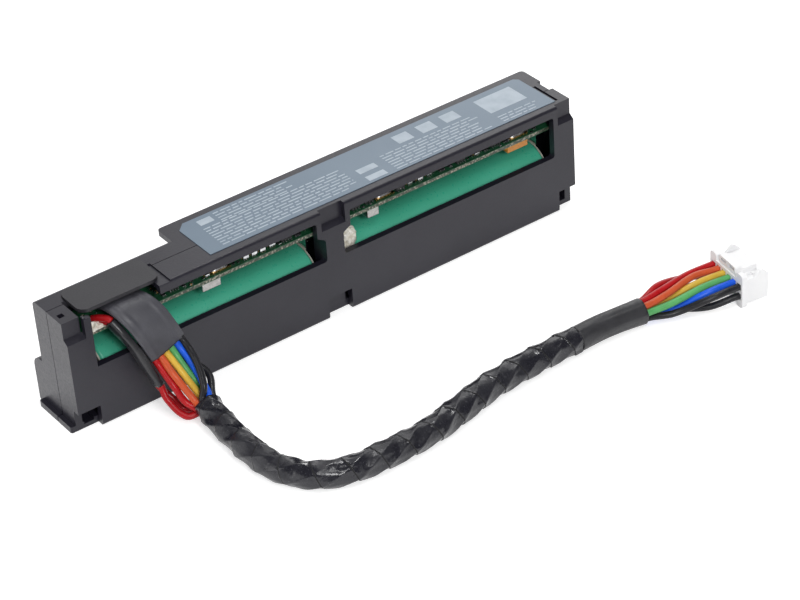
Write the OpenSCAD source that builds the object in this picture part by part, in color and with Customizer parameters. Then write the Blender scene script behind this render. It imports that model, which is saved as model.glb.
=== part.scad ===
// Battery module for a disk array controller: a moulded case in two halves that holds two
// round cells under a circuit board, with a short wire harness that ends in a plug.
// The pieces are drawn in case coordinates: x from the left end face, y back from the
// front face and z up from the base. Millimetres.

/* [Cells] */
// Diameter of a wrapped cell
cell_d = 18.4; // [17.6:0.1:19]
// Length of a wrapped cell
cell_l = 65.5; // [62:0.5:70]
// Clearance round a cell in its cradle
cell_gap = 0.2; // [0.1:0.05:0.4]
// Space between the two cells
cell_space = 12.5; // [12:0.5:16]
// Space from the left end face to the first cell
end_space_l = 10.5; // [10:0.5:14]
// Space from the second cell to the right end face
end_space_r = 8; // [7.5:0.5:11]
// Thickness of an insulating ring
ring_t = 0.4; // [0.3:0.05:0.6]
// Width of a cell tab
tab_w = 6; // [4:0.5:8]
// Thickness of a cell tab
tab_t = 0.3; // [0.2:0.05:0.4]

/* [Board] */
// Thickness of the circuit board
board_t = 1.1; // [0.8:0.1:1.6]
// Width of the circuit board
board_w = 11.2; // [10.5:0.1:12.5]
// Free height between the cells and the board
board_lift = 5.9; // [5.4:0.1:8]
// Free height over the board
head_room = 5; // [4.6:0.1:7]
// Distance of the board from each end face
board_end = 5.8; // [3:0.2:6.4]

/* [Case] */
// Wall left outside a cell's cradle
skin = 1; // [0.8:0.1:1.6]
// Front wall, floor and end walls
wall = 2; // [1.6:0.1:2.4]
// Back wall behind the board
back_wall = 1.5; // [1.2:0.1:2]
// Thickness of the roof
roof_t = 2; // [1.6:0.1:2.6]
// Distance of the parting plane from the front face
seam_y = 9; // [8:0.2:10]
// Width of the groove along the parting line
seam_gap = 0.2; // [0.1:0.05:0.4]
// Reach of the rear lip beyond the back wall
lip_reach = 6.3; // [5:0.1:8]
// Thickness of the rear lip
lip_t = 1.6; // [1.2:0.1:2]
// Distance of the lip's end from the left end face
lip_start = 41; // [36:1:60]
// Reach of the foot flange beyond the left end face
foot_out = 1.5; // [1:0.1:2.5]
// Thickness of the foot flange
foot_t = 1.8; // [1.2:0.1:2.4]
// Height of the rear bay's step at the end faces
step_h = 14.5; // [12:0.5:17]

/* [Windows] */
// How far the windows reach down past the top of the cells
window_drop = 1.5; // [0.5:0.1:2.5]
// Height of the band above the windows
window_band = 2.8; // [2.2:0.1:3.6]
// Distance of the left window from its end face
window_end_l = 7.5; // [7.2:0.1:9]
// Distance of the right window from its end face
window_end_r = 7; // [6.8:0.1:9]
// Width of the rib between the windows
rib_w = 5.7; // [5:0.1:7]
// Distance of the band's open end from the left end face
exit_end = 27.8; // [26:0.2:30]

/* [Latches] */
// Width of the middle latch notches
notch_w = 7.6; // [6:0.2:9]
// Width of the latch notches at the two ends
end_notch_w = 5.5; // [4.8:0.1:6]
// Depth of the upper notches into the front face
notch_d = 1.6; // [1.2:0.1:1.8]
// Height of the upper notches at the front face
notch_h = 5.9; // [5:0.1:7]
// Rise of the upper notches' floor towards the back
notch_rise = 1.2; // [0.6:0.1:2]
// Depth of the lower notches into the front face
foot_notch_d = 2.4; // [1.6:0.1:3]
// Height of the lower notches
foot_notch_h = 6.4; // [5:0.1:7.5]
// Width of a latch post
post_w = 4.6; // [4:0.1:5]

/* [Cover and label] */
// Length of the cover over the cable exit
cover_l = 23.6; // [22:0.2:26]
// Width of the cover
cover_w = 11.3; // [10:0.1:12.5]
// Thickness of the cover
cover_t = 1; // [0.8:0.1:1.4]
// How deep the cover sits in the roof
cover_sink = 0.4; // [0.2:0.1:0.6]
// Distance of the cover from the left end face
cover_end = 6.2; // [5:0.2:8]
// Length of the label
label_l = 113; // [90:1:116]
// Width of the label
label_w = 17.1; // [14:0.1:18]
// Thickness of the label
label_t = 0.15; // [0.1:0.05:0.3]
// Cut corner of the label
label_cut = 2.4; // [1:0.1:4]

/* [Harness] */
// Diameter of a wire
wire_d = 1.7; // [1.4:0.05:1.8]
// Diameter of the taped bundle
tape_d = 7.4; // [7:0.1:8]
// Diameter of the shrunk tube at the bundle's end
shrink_d = 7; // [6.8:0.1:7.6]
// Width of the flat sleeve
sleeve_w = 11.2; // [11:0.2:12]
// Thickness of the flat sleeve
sleeve_t = 2.2; // [2:0.1:2.6]
// Width of the narrow sleeve
slim_w = 4; // [3.8:0.1:4.4]

/* [Plug] */
// Distance between neighbouring contacts
plug_pitch = 2.5; // [2.4:0.1:2.6]
// Contacts in a row
plug_ways = 6; // [6:1:8]
// Distance between the two rows
plug_rows = 2.9; // [2.6:0.1:3.2]
// Length of the plug's body
plug_l = 8.4; // [7:0.2:10]
// Height of the plug's ears
plug_h = 10.2; // [9.6:0.2:12]
// Side of a contact chamber
chamber = 1.9; // [1.8:0.05:2]

/* [Hidden] */

round_fn = 64;
small_fn = 32;
cut = 1;

// Heights, from the floor of the cradles up
cell_r = cell_d / 2;
cradle_r = cell_r + cell_gap;
cell_axis = skin + cradle_r;
cell_top = cell_axis + cell_r;
board_z = cell_top + board_lift;
board_top = board_z + board_t;
roof_z = board_top + head_room;
case_h = roof_z + roof_t;
window_low = cell_top - window_drop;
window_top = case_h - window_band;

// Depths, from the front face back
bay_d = 2 * (skin + cradle_r);
bay_h = cell_top + cell_gap + skin + 0.2;
board_y = notch_d + skin + 0.5;
case_d = board_y + board_w + 0.2 + back_wall;
lip_d = case_d + lip_reach;

// Lengths, from the left end face on
cell_x = [end_space_l, end_space_l + cell_l + cell_space];
case_l = cell_x[1] + cell_l + end_space_r;
mid_x = case_l / 2;
board_l = case_l - 2 * board_end;
rib_x = [mid_x - rib_w / 2, mid_x + rib_w / 2];
notch_x = [mid_x - notch_w / 2, mid_x + notch_w / 2];
end_step = 5;
stop_t = 1.5;
seat_gap = 0.1;

function unit(v) = v / norm(v);
function along(p, i) = unit(p[min(i + 1, len(p) - 1)] - p[max(i - 1, 0)]);
function side_of(t, ref) = unit(ref - t * (t * ref));

// The corners of a ring on a route: the outline's first axis lies along ref
function ring_at(p, t, ref, outline) =
  let (s = side_of(t, ref), n = cross(t, s))
  [for (q = outline) p + q[0] * s + q[1] * n];

function circle_outline(d, sides) =
  [for (i = [0:sides - 1]) d / 2 * [cos(360 * i / sides), sin(360 * i / sides)]];

// A flat outline with rounded ends, w wide and t thick
function flat_outline(w, t) =
  [for (s = [1, -1], a = [-60, -20, 20, 60]) s * [w / 2 - t / 2 + t / 2 * cos(a), t / 2 * sin(a) * 1.15]];

function start_dir(route) = along(route, 0);
function end_dir(route) = along(route, len(route) - 1);
function end_of(route) = route[len(route) - 1];

// A closed tube along a route: its ends are square to first_dir and last_dir
module tube(route, ref, outline, first_dir, last_dir) {
  n = len(outline);
  last = len(route) - 1;
  dirs = [first_dir, for (i = [1:1:last - 1]) along(route, i), last_dir];
  polyhedron(
    points = [for (i = [0:last]) each ring_at(route[i], dirs[i], ref, outline)],
    faces = concat(
      [[for (j = [n - 1:-1:0]) j]],
      [[for (j = [0:n - 1]) last * n + j]],
      [for (i = [0:last - 1], j = [0:n - 1]) [i * n + j, i * n + (j + 1) % n, (i + 1) * n + (j + 1) % n]],
      [for (i = [0:last - 1], j = [0:n - 1]) [i * n + j, (i + 1) * n + (j + 1) % n, (i + 1) * n + j]]
    )
  );
}

// The frame's origin is under the middle of the case, the foot and the lip included
module in_frame() {
  translate([(foot_out - case_l) / 2, -lip_d / 2, 0]) children();
}

module round_rect(x0, y0, x1, y1, r) {
  translate([x0 + r, y0]) square([x1 - x0 - 2 * r, y1 - y0]);
  translate([x0, y0 + r]) square([x1 - x0, y1 - y0 - 2 * r]);
  for (x = [x0 + r, x1 - r], y = [y0 + r, y1 - r]) translate([x, y]) circle(r, $fn = round_fn);
}

// Extrudes an outline of depth and height along the length of the case
module along_case(x0, x1) {
  translate([x0, 0, 0]) rotate([90, 0, 90]) linear_extrude(x1 - x0) children();
}

// Extrudes an outline of length and height from y0 back to y1
module into_case(y0, y1) {
  translate([0, y1, 0]) rotate([90, 0, 0]) linear_extrude(y1 - y0) children();
}

module block(x0, y0, z0, x1, y1, z1) {
  translate([x0, y0, z0]) cube([x1 - x0, y1 - y0, z1 - z0]);
}

// ---- Case ----

foot_y = [foot_notch_d, bay_d - 2.5];
bay_round = cell_r - 1.2;
edge_r = 0.8;
top_r = 1.6;

// The section of the tall front part, which holds the board over the cells
module tower_outline() {
  difference() {
    union() {
      round_rect(0, 0, case_d, case_h, edge_r);
      translate([case_d / 2, case_h - 2 * top_r]) square([case_d / 2 - top_r, 2 * top_r]);
    }
    translate([case_d - top_r, case_h - top_r]) difference() {
      square(2 * top_r);
      circle(top_r, $fn = round_fn);
    }
  }
}

// The section of the bay that bulges back round the cells
module bay_outline(h, r) {
  round_rect(0, 0, bay_d, h - r, edge_r);
  difference() {
    translate([edge_r, edge_r]) square([bay_d - edge_r, h - edge_r]);
    translate([bay_d - r, h - r]) difference() {
      square(2 * r);
      circle(r, $fn = round_fn);
    }
  }
}

module case_body() {
  along_case(0, case_l) tower_outline();
  along_case(0, case_l) bay_outline(step_h, 3.5);
  along_case(end_step, case_l - end_step) bay_outline(bay_h, bay_round);
  translate([0, 0, case_h - lip_t]) linear_extrude(lip_t) round_rect(lip_start, case_d - 4, case_l, lip_d, 1.2);
  linear_extrude(foot_t) round_rect(-foot_out, foot_y[0], 4, foot_y[1], 0.6);
}

cradle_end = ring_t + tab_t + seat_gap;
rest_z = board_z - 1.2;
rest_y = case_d - back_wall - 1;

// The room for the cells, with a stop rib left standing at each of their ends
module cell_room() {
  for (x = cell_x) {
    along_case(x - cradle_end, x + cell_l + cradle_end) union() {
      translate([cell_axis, cell_axis]) circle(cradle_r, $fn = 2 * round_fn);
      translate([wall, wall]) square([bay_d - 2 * wall, cell_axis - wall]);
      translate([wall, cell_axis]) square([case_d - back_wall - wall, board_z - cell_axis]);
    }
  }
  stop = cradle_end + stop_t;
  between = [cell_x[0] + cell_l + stop, cell_x[1] - stop];
  for (x = [[wall, cell_x[0] - stop], between, [cell_x[1] + cell_l + stop, case_l - wall]]) {
    block(x[0], wall, wall, x[1], case_d - back_wall, cell_top);
  }
}

// The room over the stop ribs, for the tabs and the board
module board_room() {
  block(wall, wall, cell_axis + 3, case_l - wall, case_d - back_wall, roof_z);
}

window_r = 0.8;

// Outlines of the two windows, stepped where the middle notch reaches down beside them
module window_outlines() {
  step_z = case_h - notch_h - 1.6;
  near = notch_x[0] - 1.5;
  far = notch_x[1] + 1.5;
  slant = 1.4;
  offset(window_r, $fn = small_fn / 2) offset(-window_r) {
    polygon([
      [window_end_l, window_low], [rib_x[0], window_low], [rib_x[0], step_z - slant],
      [near, step_z], [near, window_top], [window_end_l, window_top]
    ]);
    polygon([
      [rib_x[1], window_low], [case_l - window_end_r, window_low],
      [case_l - window_end_r, window_top], [far, window_top], [far, step_z], [rib_x[1], step_z - slant]
    ]);
  }
}

// A latch notch in the top front edge, with a floor that rises to the back
module upper_notch(x0, x1) {
  floor_z = case_h - notch_h;
  along_case(x0, x1) polygon([
    [-cut, floor_z - notch_rise * cut / notch_d], [notch_d, floor_z + notch_rise],
    [notch_d, case_h + cut], [-cut, case_h + cut]
  ]);
}

// The way out for the wires, open to the front and to the top
module cable_exit() {
  block(window_end_l, -cut, window_low, exit_end, wall + cut, case_h + cut);
  block(post_w + 0.4, notch_d, board_top, exit_end, seam_y + cut, case_h + cut);
}

module latch_holes() {
  hole = 1.6;
  block(1.1, 4.2, case_h - 4, 1.1 + hole, 4.2 + hole, case_h + cut);
  block(2.4, foot_notch_d - cut, 1.2, 5.4, foot_notch_d + 4, 4.2);
  block(case_l - 4.1, foot_notch_d - cut, 1.4, case_l - 2, foot_notch_d + 4, 4.7);
}

cover_x = [cover_end, cover_end + cover_l];
cover_y = [case_d - 2.4 - cover_w, case_d - 2.4];
cover_z = case_h - cover_sink;

// The shallow seat of the cover, and the lowered end of the band in front of it
module cover_seat() {
  translate([0, 0, cover_z]) linear_extrude(2 * cut)
    round_rect(cover_x[0] - 0.2, cover_y[0] - 4, cover_x[1] + 0.2, cover_y[1] + 0.2, 2.8);
  block(exit_end - cut, -cut, cover_z, cover_x[1] + 1.4, seam_y + cut, case_h + cut);
}

// The fine groove all round the parting line, wider through the foot
module seam_groove() {
  deep = 0.3;
  y0 = seam_y - seam_gap / 2;
  y1 = seam_y + seam_gap / 2;
  block(-cut, y0, case_h - deep, case_l + cut, y1, case_h + cut);
  block(-cut, y0, -cut, case_l + cut, y1, deep);
  block(-cut, y0, -cut, deep, y1, case_h + cut);
  block(case_l - deep, y0, -cut, case_l + cut, y1, case_h + cut);
  block(-foot_out - cut, y0 - 0.1, -cut, deep, y1 + 0.1, foot_t + cut);
}

// The narrow slot beside the label
module label_slot() {
  block(case_l - 3.6, 3, case_h - 0.6, case_l - 2.8, case_d - 3, case_h + cut);
}

module case_cuts() {
  board_room();
  cell_room();
  into_case(-cut, wall + cut) window_outlines();
  for (x = [[-cut, end_notch_w], notch_x, [case_l - end_notch_w, case_l + cut]]) upper_notch(x[0], x[1]);
  for (x = [[-foot_out - cut, 6.5], [notch_x[0] + 0.2, notch_x[1] + 0.2], [case_l - 5.8, case_l + cut]]) {
    block(x[0], -cut, -cut, x[1], foot_notch_d, foot_notch_h);
  }
  cable_exit();
  cover_seat();
  latch_holes();
  seam_groove();
  label_slot();
}

// Ledges under the board: a shelf along the back and two rests at the front
module board_shelf() {
  block(wall, rest_y, rest_z, case_l - wall, case_d - back_wall + 0.2, board_z - seat_gap);
}

module board_rests() {
  block(rib_x[0], wall - 0.2, wall, rib_x[1], 6, board_z - seat_gap);
  block(case_l - wall - 3.2, wall - 0.2, rest_z, case_l - wall + 0.2, 6, board_z - seat_gap);
  block(wall - 0.2, wall - 0.2, rest_z, window_end_l, 6, board_z - seat_gap);
}

module front_shell() {
  color("#3c3b40") in_frame() {
    intersection() {
      union() {
        difference() {
          case_body();
          case_cuts();
        }
        board_rests();
      }
      block(-foot_out - cut, -cut, -cut, case_l + cut, seam_y, case_h + cut);
    }
  }
}

module rear_shell() {
  color("#46454a") in_frame() {
    intersection() {
      union() {
        difference() {
          case_body();
          case_cuts();
          block(case_l - 1.1, 0, roof_z, case_l + cut, case_d - 1.8, case_h + cut);
        }
        board_shelf();
      }
      block(-foot_out - cut, seam_y, -cut, case_l + cut, lip_d + cut, case_h + cut);
    }
  }
}

// ---- Cover and label ----

module cable_cover() {
  color("#4b4a4f") in_frame() translate([0, 0, cover_z])
    linear_extrude(cover_t) round_rect(cover_x[0], cover_y[0], cover_x[1], cover_y[1], 2.6);
}

label_x = [case_l - 4 - label_l, case_l - 4];
label_y = [lip_d - 2.4 - label_w, lip_d - 2.4];

module rating_label() {
  color("#7d909e") in_frame() translate([0, 0, case_h]) linear_extrude(label_t) polygon([
    [label_x[0], label_y[0]], [label_x[1], label_y[0]],
    [label_x[1], label_y[1] - label_cut / 2], [label_x[1] - label_cut / 2, label_y[1]],
    [label_x[0] + label_cut, label_y[1]], [label_x[0], label_y[1] - label_cut]
  ]);
}

// ---- Cells, rings and tabs ----

button_r = 3;

// A wrapped cell along +x, its raised contact at the far end
module cell(x) {
  shoulder = 0.8;
  color("#2f8f6a") in_frame() translate([x, cell_axis, cell_axis]) rotate([0, 90, 0])
    rotate_extrude($fn = round_fn) {
      square([button_r, cell_l + ring_t]);
      square([cell_r - shoulder, cell_l]);
      translate([0, shoulder]) square([cell_r, cell_l - 2 * shoulder]);
      for (z = [shoulder, cell_l - shoulder]) translate([cell_r - shoulder, z]) circle(shoulder, $fn = small_fn);
    }
}

module cell_left() { cell(cell_x[0]); }
module cell_right() { cell(cell_x[1]); }

// An insulating ring on the end face of a cell
module insulator(x) {
  color("#e8e4d8") in_frame() translate([x, cell_axis, cell_axis]) rotate([0, 90, 0])
    difference() {
      cylinder(h = ring_t, r = cell_r - 0.4, $fn = round_fn);
      translate([0, 0, -cut]) cylinder(h = ring_t + 2 * cut, r = button_r + 0.3, $fn = round_fn);
    }
}

module insulator_left_outer() { insulator(cell_x[0] - ring_t); }
module insulator_left_inner() { insulator(cell_x[0] + cell_l); }
module insulator_right_inner() { insulator(cell_x[1] - ring_t); }
module insulator_right_outer() { insulator(cell_x[1] + cell_l); }

// A tab that stands on a cell's end face, x0 being its lower face along the length
module upright_tab(x0, top_z) {
  block(x0, cell_axis - tab_w / 2, cell_axis - 4, x0 + tab_t, cell_axis + tab_w / 2, top_z);
}

// The pressed dimple that reaches a flat end face through its ring
module tab_dimple(x0) {
  translate([x0, cell_axis, cell_axis]) rotate([0, 90, 0]) cylinder(h = ring_t, r = 1.5, $fn = small_fn);
}

module tab_left() {
  x = cell_x[0] - ring_t - tab_t;
  color("#c9c8c4") in_frame() {
    upright_tab(x, board_z);
    tab_dimple(x + tab_t);
  }
}

module tab_right() {
  color("#c9c8c4") in_frame() upright_tab(cell_x[1] + cell_l + ring_t, board_z);
}

// The folded strip that joins the two inner cell ends and rises to the board
module centre_link() {
  x0 = cell_x[0] + cell_l + ring_t;
  x1 = cell_x[1] - ring_t;
  bridge_z = cell_top + 1.6;
  color("#c9c8c4") in_frame() {
    upright_tab(x0, board_z);
    upright_tab(x1 - tab_t, bridge_z + tab_t);
    tab_dimple(x1);
    block(x0, cell_axis - tab_w / 2, bridge_z, x1, cell_axis + tab_w / 2, bridge_z + tab_t);
  }
}

// ---- Board ----

board_x = [board_end, board_end + board_l];

module circuit_board() {
  hole_r = 0.5;
  color("#1f5138") in_frame() difference() {
    block(board_x[0], board_y, board_z, board_x[1], board_y + board_w, board_top);
    for (i = [0:6], j = [0, 1]) translate([board_x[0] + 5 + 2.4 * i, board_y + 7.6 + 1.8 * j, board_z - cut])
      cylinder(h = board_t + 2 * cut, r = hole_r, $fn = small_fn / 2);
  }
}

// Parts keep their share of the board's length and width when the board changes
length_share = board_l / 150.4;
width_share = board_w / 11.2;
function board_at(p) = [board_x[0] + p[0] * length_share, board_y + p[1] * width_share];

// A part on the board: distance from the board's left end and front edge, length, width, height
module on_board(p) {
  at = board_at(p);
  block(at[0], at[1], board_top, at[0] + p[2], at[1] + p[3], board_top + p[4]);
}

module under_board(p) {
  at = board_at(p);
  block(at[0], at[1], board_z - p[4], at[0] + p[2], at[1] + p[3], board_z);
}

chips = [
  [27, 1.6, 3, 2.4, 1], [32.6, 3.6, 5, 4, 1.4], [46.2, 4.4, 4, 3, 1.1], [61.5, 1.2, 3.4, 2.6, 1],
  [84, 1.2, 2.8, 2.4, 1.1], [88.6, 1.4, 2.8, 2.4, 1.1], [98.6, 1, 2.8, 2.4, 1.2], [110, 3.6, 6, 5, 1.2],
  [119, 1.2, 3, 2.4, 1], [131, 1.6, 3.4, 2.6, 1]
];

module board_chips() {
  color("#1b1b1d") in_frame() for (p = chips) on_board(p);
}

capacitors = [
  [49.4, 0.8, 1.6, 2.6, 1.4], [52, 0.8, 1.6, 2.6, 1.4], [54.6, 0.8, 1.6, 2.6, 1.4],
  [57.6, 1, 1.8, 2.4, 1.2], [102.6, 1.2, 1.4, 2, 1.2], [105.8, 1, 1.6, 2.2, 1.3], [109, 1.2, 1.6, 1.8, 0.9],
  [37.6, 0.8, 1.2, 1.8, 0.9], [125, 1, 1.6, 1.8, 0.9]
];

module board_capacitors() {
  color("#b98a52") in_frame() for (p = capacitors) on_board(p);
}

resistors = [
  [24.6, 0.9, 1, 1.8, 0.5], [30.8, 0.9, 1, 1.8, 0.5], [65.6, 1, 2, 1, 0.5], [113, 1, 2, 1, 0.5],
  [116.4, 1, 1, 1.8, 0.5], [128.4, 1, 1, 1.8, 0.5], [135, 1, 2, 1, 0.5]
];

module board_resistors() {
  color("#2b2a2c") in_frame() for (p = resistors) on_board(p);
}

can_l = 5.6;
can_w = 3.8;
cans = [[39.6, 1.2], [92, 1.2], [137.4, 1.2]];

// Oval plated cans on gold seats
module oval_cans() {
  color("#d8d6cf") in_frame() for (p = cans) {
    translate([board_at(p)[0], board_at(p)[1], board_top]) {
      linear_extrude(0.5) round_rect(0, 0, can_l, can_w, 1.2);
      linear_extrude(1.9) round_rect(0.3, 0.3, can_l - 0.3, can_w - 0.3, 1.5);
    }
  }
}

// Thermal cut-outs, plated boxes under the board
module cutoff_left() {
  color("#b9b6ad") in_frame() under_board([36, 0.4, 5.8, 3.4, 2.6]);
}

module cutoff_right() {
  color("#b9b6ad") in_frame() under_board([88.4, 0.4, 3.8, 3.4, 2.8]);
}

module amber_capacitor() {
  color("#c97f2e") in_frame() {
    under_board([136.2, 1, 7, 3.6, 2.6]);
    under_board([135.8, 1.5, 7.8, 2.6, 1.6]);
  }
}

// ---- Harness ----

// Middle of the flat sleeve, from the board out under the cover and down the front
sleeve_route = [
  [18.2, 12.6, 27.8], [18.3, 10.4, 28.3], [18.4, 7, 30], [18.8, 3.6, 31], [19.8, 0.4, 30.3],
  [21.4, -2.2, 27.8], [23.2, -3.7, 23.6], [25.2, -4.5, 18]
];

// Middle of the narrow sleeve to the left of it
slim_route = [
  [13.6, 1.8, 28], [14.9, -0.6, 25.2], [16.9, -2.6, 20.6], [18.8, -4.4, 15], [20.6, -5.9, 9.6]
];

// Middle of the taped bundle, which comes down to the ground and lies along the case
tape_route = [
  [27.9, -16.5, 5.2], [27.6, -20.5, 4.2], [27.3, -26, 3.8], [27, -34, 3.7], [27, -42, 3.7],
  [28.6, -49.5, 3.7], [33, -55.8, 3.7], [39.5, -59.4, 3.7], [47, -60.8, 3.7], [56, -61.2, 3.7],
  [65, -60.6, 3.7], [75, -58.6, 3.7], [85, -56.4, 3.7], [95, -55, 3.7], [106, -54.5, 3.7], [117, -54.5, 3.7]
];
shrink_route = [[117, -54.5, 3.7], [124, -54.5, 3.7], [131, -55.1, 3.7], [138, -56, 3.7]];

flat_ref = [1, 0, 0];
up_ref = [0, 0, 1];

function quarter_turn(outline) = [for (q = outline) [-q[1], q[0]]];

module cord(route, ref, outline) {
  in_frame() tube(route, ref, outline, start_dir(route), end_dir(route));
}

module flat_sleeve() {
  color("#37363b") cord(sleeve_route, flat_ref, flat_outline(sleeve_w, sleeve_t));
}

module slim_sleeve() {
  color("#2c2b30") cord(slim_route, flat_ref, quarter_turn(flat_outline(slim_w, wire_d + 0.5)));
}

module tape_wrap() {
  color("#2a2a2d") cord(tape_route, up_ref, circle_outline(tape_d, 12));
}

module shrink_tube() {
  color("#333237") cord(shrink_route, up_ref, circle_outline(shrink_d, 12));
}

// The nine wires fill the bundle as eight round one: slot 8 is the middle
slot_r = (shrink_d - wire_d) / 2 - 0.25;
slot_turn = 30;
function slot_offset(slot) = slot == 8 ? [0, 0] : slot_r * [cos(slot_turn + 45 * slot), sin(slot_turn + 45 * slot)];

function into_tape(slot, back) =
  ring_at(tape_route[0], start_dir(tape_route), flat_ref, [slot_offset(slot)])[0] - back * start_dir(tape_route);
function from_shrink(slot) =
  ring_at(end_of(shrink_route), end_dir(shrink_route), up_ref, [slot_offset(slot)])[0];

// Where a wire leaves the flat sleeve, way 0 on the left
sleeve_pitch = (sleeve_w - wire_d - 0.6) / 5;
function from_sleeve(way) =
  ring_at(end_of(sleeve_route), end_dir(sleeve_route), flat_ref, [[(way - 2.5) * sleeve_pitch, 0]])[0];

// Where the two wires of the narrow sleeve enter and leave it, way 0 next to the case
slim_pitch = slim_w - wire_d - 0.4;
function slim_way(at, dir, way) = ring_at(at, dir, flat_ref, [[0, (way - 0.5) * slim_pitch]])[0];
function into_slim(way) = slim_way(slim_route[0], start_dir(slim_route), way);
function from_slim(way) = slim_way(end_of(slim_route), end_dir(slim_route), way);

// The plug stands on the ground, turned a little towards the front
plug_at = [163, -61.2, 0];
plug_turn = -10;
row_z = [3.4, 3.4 + plug_rows];
plug_dir = [cos(plug_turn), sin(plug_turn), 0];
plug_side = [sin(plug_turn), -cos(plug_turn), 0];
chamber_l = 2.6;

// Where a wire lies in the plug: way 0 is at the back and row 1 the upper one
function plug_way(way, row, depth) =
  plug_at + (way - (plug_ways - 1) / 2) * plug_pitch * plug_side + [0, 0, row_z[row]] + depth * plug_dir;
function into_plug(way, row) = [plug_way(way, row, -1), plug_way(way, row, chamber_l)];

sleeve_dir = end_dir(sleeve_route);
slim_dirs = [start_dir(slim_route), end_dir(slim_route)];
tape_dir = start_dir(tape_route);
shrink_dir = end_dir(shrink_route);

// One wire shows as its stretches outside the sleeves, the tape and the shrunk tube: each has
// its route, the directions of its two ends and the axis its rings are turned to
module wire(tint, stretches) {
  color(tint) in_frame() for (s = stretches) tube(s[0], s[3], circle_outline(wire_d, 8), s[1], s[2]);
}

function to_tape(start, dir, middle, slot, straight) =
  [[start, each middle, each (straight > 0 ? [into_tape(slot, straight)] : []), into_tape(slot, 0)], dir, tape_dir, flat_ref];
function to_plug(slot, middle, way, row) =
  [[from_shrink(slot), each middle, each into_plug(way, row)], shrink_dir, plug_dir, up_ref];

module wire_red_1() {
  wire("#b3141a", [
    to_tape(from_sleeve(0), sleeve_dir, [[22, -9.4, 10.8]], 4, 2),
    to_plug(7, [[145, -55.2, 6.4], [155.4, -54.2, 6.3]], 0, 1)
  ]);
}

module wire_red_2() {
  start = [8, 8.4, 27.5];
  wire("#c21a1e", [
    [[start, [9.6, 6.2, 28.7], [11.8, 3.6, 29.1], into_slim(1)], unit([0.6, -0.8, 0]), slim_dirs[0], flat_ref],
    to_tape(from_slim(1), slim_dirs[1], [[20.8, -9, 6.4], [23.2, -13.6, 2.4]], 5, 0),
    to_plug(6, [[146.4, -52.8, 6.2], [156, -52.4, 4.2]], 0, 0)
  ]);
}

module wire_red_3() {
  start = [10.6, 9, 27.5];
  wire("#a81218", [
    [[start, [11.6, 6.4, 27.5], [12.6, 4, 27.6], into_slim(0)], unit([0.4, -0.9, 0]), slim_dirs[0], flat_ref],
    to_tape(from_slim(0), slim_dirs[1], [[22.6, -8.4, 5.2], [26.6, -12.2, 1.8]], 6, 0),
    to_plug(5, [[145.4, -52.8, 2.8], [155.8, -55.3, 3.1]], 1, 0)
  ]);
}

module wire_orange() {
  wire("#d9623a", [
    to_tape(from_sleeve(1), sleeve_dir, [[23.6, -9.7, 13.4]], 3, 2),
    to_plug(0, [[145, -57.6, 6.4], [155.8, -56.2, 6.7]], 1, 1)
  ]);
}

module wire_yellow() {
  wire("#cfa63f", [
    to_tape(from_sleeve(2), sleeve_dir, [[25.5, -9.6, 13.2]], 8, 2),
    to_plug(8, [[145, -56.8, 4], [155.3, -58.8, 6.2]], 2, 1)
  ]);
}

module wire_green() {
  wire("#4fa266", [
    to_tape(from_sleeve(3), sleeve_dir, [[27.6, -8.8, 12]], 7, 2),
    to_plug(1, [[144.7, -59.9, 4.9], [154.9, -61.2, 6.2]], 3, 1)
  ]);
}

module wire_blue() {
  wire("#1c57d6", [
    to_tape(from_sleeve(4), sleeve_dir, [[29.2, -8.6, 13.6], [29.4, -14.8, 8]], 1, 0),
    to_plug(3, [[144.9, -58.8, 1.8], [154.5, -63.2, 5.6]], 4, 1)
  ]);
}

module wire_black_1() {
  wire("#26262a", [
    to_tape(from_sleeve(5), sleeve_dir, [[30.8, -10.6, 15], [28.4, -15.2, 10.6]], 2, 0),
    to_plug(2, [[144.8, -60.9, 2.3], [154, -65.6, 5.4]], 5, 1)
  ]);
}

// Leaves the case under the flat sleeve and runs down behind it
module wire_black_2() {
  start = [22, 7.4, 27.5];
  middle = [
    [22.3, 4, 27.9], [22.8, 1.2, 28], [23.6, -0.5, 26], [24.6, -1.4, 22.4], [26, -1.9, 18],
    [28.6, -4, 13.4], [33, -9.6, 9.2]
  ];
  wire("#1e1e22", [
    to_tape(start, [0, -1, 0], middle, 0, 0),
    to_plug(4, [[145.1, -56.6, 1.3], [154, -63.8, 1.6]], 5, 0)
  ]);
}

// The solder joints behind the flat sleeve, one for each of its wires
module wire_solder() {
  color("#cfcfd2") in_frame() for (way = [0:5])
    translate([sleeve_route[0][0] + (way - 2.5) * sleeve_pitch, sleeve_route[0][1] + 0.8, board_top])
      cylinder(h = 1.2, r1 = 0.8, r2 = 0.5, $fn = small_fn);
}

module bead(at, size) {
  translate(at) resize(size) sphere(1, $fn = 20);
}

// Beads of white silicone beside the red wires and at the inner end of a cell
module silicone_bead_left() {
  color("#eceae4") in_frame() intersection() {
    bead([9.4, 4.7, board_top], [3.4, 2.8, 3]);
    block(0, 0, board_top, mid_x, case_d, case_h);
  }
}

module silicone_bead_middle() {
  color("#eceae4") difference() {
    in_frame() bead([cell_x[1] - 1.3, wall + 2.5, cell_top - 0.2], [6.4, 4.6, 8]);
    cell_right();
    insulator_right_inner();
  }
}

// ---- Plug ----

plug_w = plug_ways * plug_pitch + 0.4;
ear_t = 1.4;
ear_w = 3;
latch_w = 7.8;
fin_t = 0.9;
body_z = [1, row_z[1] + 1.9];

// Draws in the plug's own axes: x along the wires, y across, z up
module in_plug() {
  in_frame() translate(plug_at) rotate([0, 0, plug_turn]) children();
}

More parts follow.
